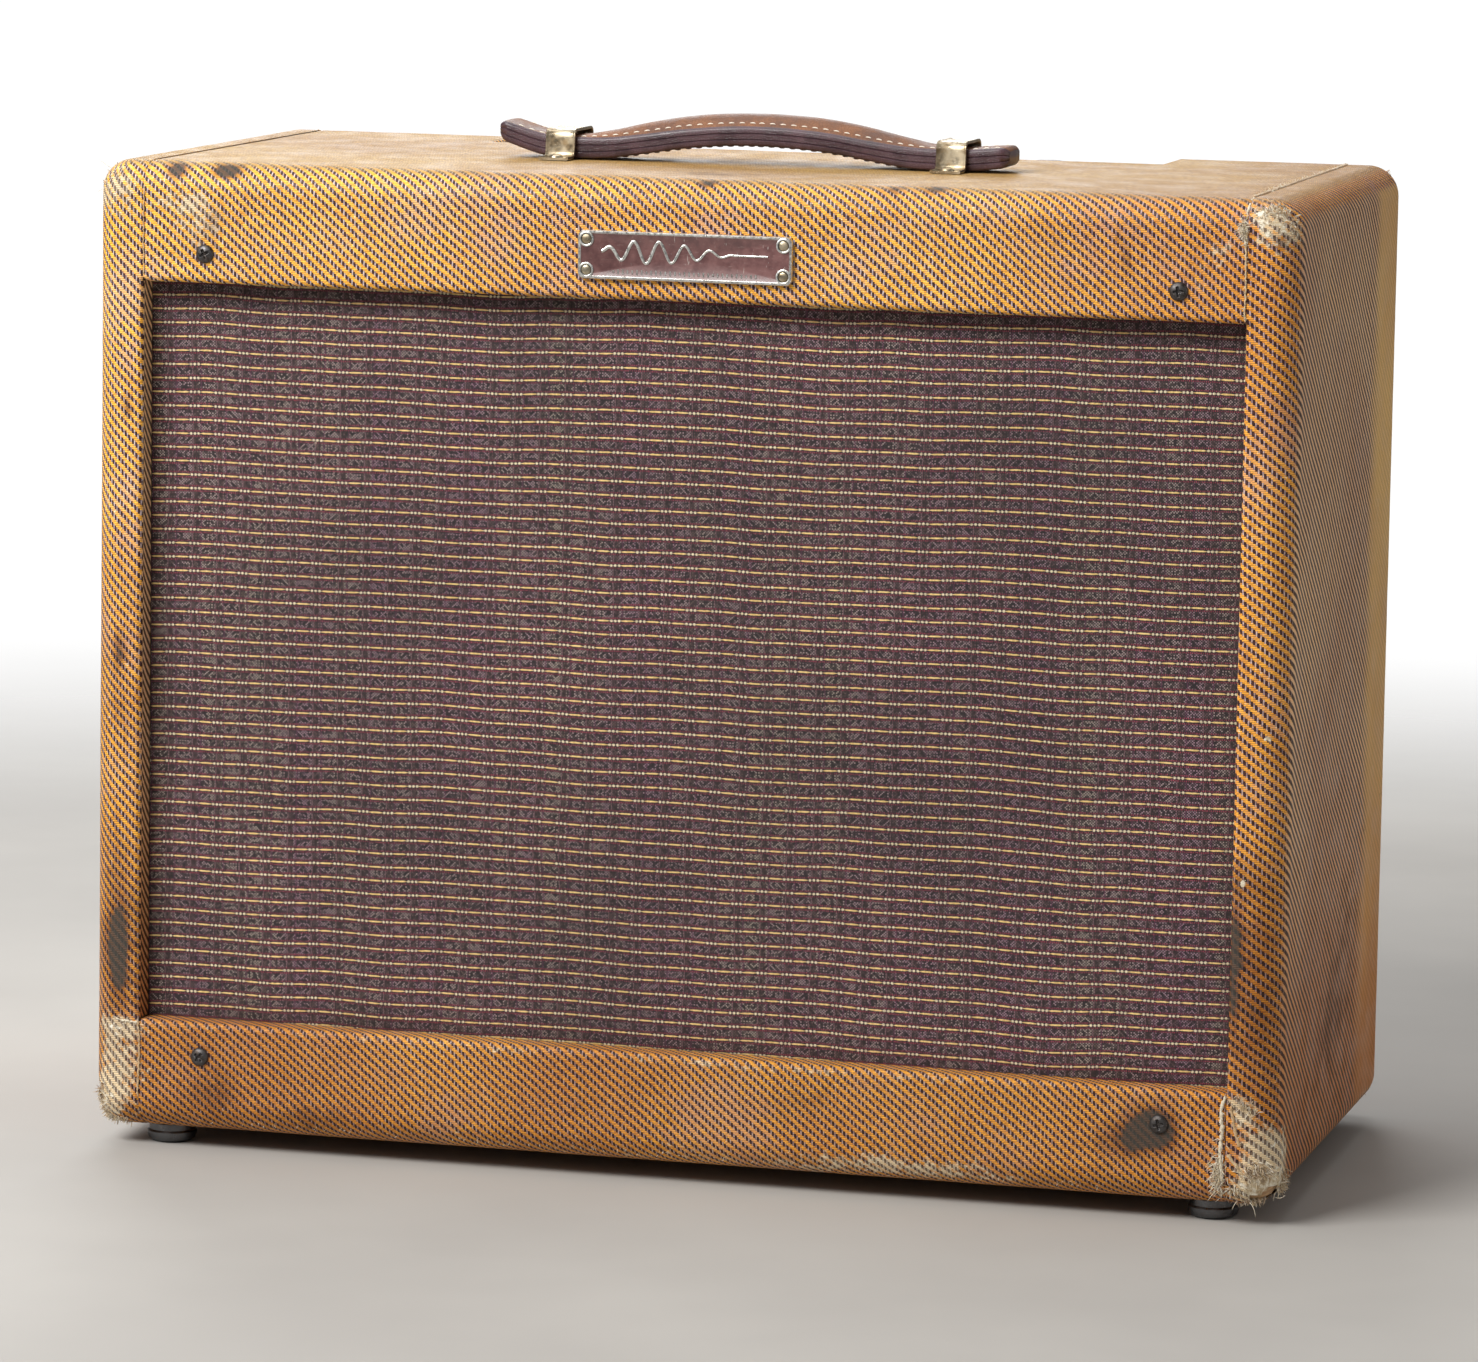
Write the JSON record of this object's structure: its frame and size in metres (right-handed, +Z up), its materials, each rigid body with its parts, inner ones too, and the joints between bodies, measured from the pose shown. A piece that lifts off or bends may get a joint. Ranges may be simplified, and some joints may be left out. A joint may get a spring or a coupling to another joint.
{
  "type": "guitar amplifier",
  "caption": "Open-backed valve guitar combo with a woven covered wooden cabinet, recessed top control panel, grille, speaker and leather handle.",
  "frame": {"origin": "on the floor, under the middle of the bounding box", "axes": "+Z up, the grille faces -Y, +X to the right of someone who faces the grille"},
  "size_m": [0.508, 0.246, 0.4357],
  "materials": {
    "pine": "bare pine, sanded",
    "plywood": "bare plywood",
    "tweed": "lacquered twill, worn",
    "tweed_panel": "plywood under lacquered twill",
    "grille_weave": "coarse woven grille cloth",
    "dark_screw": "dark oxidised",
    "steel_screw": "dulled nickel plate",
    "badge": "dark enamel in a bright border",
    "glide": "dulled nickel plate",
    "strap_leather": "layered and stitched, rubbed",
    "loop_metal": "aged nickel plate",
    "panel_chrome": "plated steel",
    "jack_metal": "nickel plate",
    "pot_metal": "dull case",
    "knob_plastic": "moulded, slightly worn",
    "pilot_red": "faceted jewel in a plated bezel",
    "fuse_plastic": "moulded",
    "iron": "lacquered laminations and covers",
    "eyelet_board": "waxed fibre board",
    "valve_glass": "clear bulb on a moulded base",
    "frame_paint": "grey enamel on pressed steel",
    "magnet_paint": "grey enamel",
    "cone_paper": "pressed paper",
    "lead_cloth": "braided sleeve"
  },
  "bodies": {
    "cabinet": {"top_board": "pine", "bottom_board": "pine", "left_side_board": "pine", "right_side_board": "pine", "front_top_rail": "pine", "front_bottom_rail": "pine", "baffle_board": "plywood", "top_cover": "tweed", "left_cover": "tweed", "right_cover": "tweed", "bottom_cover": "tweed", "grille_cloth": "grille_weave", "upper_back_panel": "tweed_panel", "lower_back_panel": "tweed_panel", "left_back_cleat": "pine", "right_back_cleat": "pine", "upper_back_panel_screw_left": "steel_screw", "upper_back_panel_screw_right": "steel_screw", "lower_back_panel_screw_left": "steel_screw", "lower_back_panel_screw_right": "steel_screw", "front_screw_top_left": "dark_screw", "front_screw_top_right": "dark_screw", "front_screw_bottom_left": "dark_screw", "front_screw_bottom_right": "dark_screw", "nameplate": "badge", "foot_front_left": "glide", "foot_front_right": "glide", "foot_rear_left": "glide", "foot_rear_right": "glide", "handle_loop_left": "loop_metal", "handle_loop_right": "loop_metal", "chassis": "panel_chrome", "input_jack_1": "jack_metal", "input_jack_2": "jack_metal", "input_jack_3": "jack_metal", "input_jack_4": "jack_metal", "tone_pot": "pot_metal", "volume_pot_1": "pot_metal", "volume_pot_2": "pot_metal", "pilot_lamp": "pilot_red", "fuse_holder": "fuse_plastic", "power_transformer": "iron", "output_transformer": "iron", "circuit_board": "eyelet_board", "rectifier_valve": "valve_glass", "power_valve_1": "valve_glass", "power_valve_2": "valve_glass", "preamp_valve_1": "valve_glass", "preamp_valve_2": "valve_glass", "speaker_frame": "frame_paint", "speaker_magnet": "magnet_paint", "speaker_surround": "cone_paper", "speaker_lead": "lead_cloth"},
    "tone_control": {"tone_knob": "knob_plastic"},
    "volume_control_1": {"volume_knob_1": "knob_plastic"},
    "volume_control_2": {"volume_knob_2": "knob_plastic"},
    "fuse_cap": {"fuse_cap": "fuse_plastic"},
    "cone": {"speaker_cone": "cone_paper"},
    "handle": {"handle_strap": "strap_leather"}
  },
  "joints": [
    {"name": "tone_turn", "type": "hinge", "parent": "cabinet", "child": "tone_control", "pos_m": [0.104, 0.091, 0.3958], "axis": [0, 0, 1], "range_deg": [-150, 150]},
    {"name": "volume_1_turn", "type": "hinge", "parent": "cabinet", "child": "volume_control_1", "pos_m": [0.066, 0.091, 0.3958], "axis": [0, 0, 1], "range_deg": [-150, 150]},
    {"name": "volume_2_turn", "type": "hinge", "parent": "cabinet", "child": "volume_control_2", "pos_m": [0.028, 0.091, 0.3958], "axis": [0, 0, 1], "range_deg": [-150, 150]},
    {"name": "fuse_cap_turn", "type": "hinge", "parent": "cabinet", "child": "fuse_cap", "pos_m": [0.1475, 0.091, 0.3958], "axis": [0, 0, 1], "range_deg": [0, 90]},
    {"name": "cone_travel", "type": "slide", "parent": "cabinet", "child": "cone", "axis": [0, 1, 0], "range_m": [-0.003, 0.003], "stiffness_N_per_m": 2000},
    {"name": "handle_lift", "type": "slide", "parent": "cabinet", "child": "handle", "axis": [0, 0, 1], "range_m": [0, 0.012], "deforming": ["handle_strap"]}
  ]
}
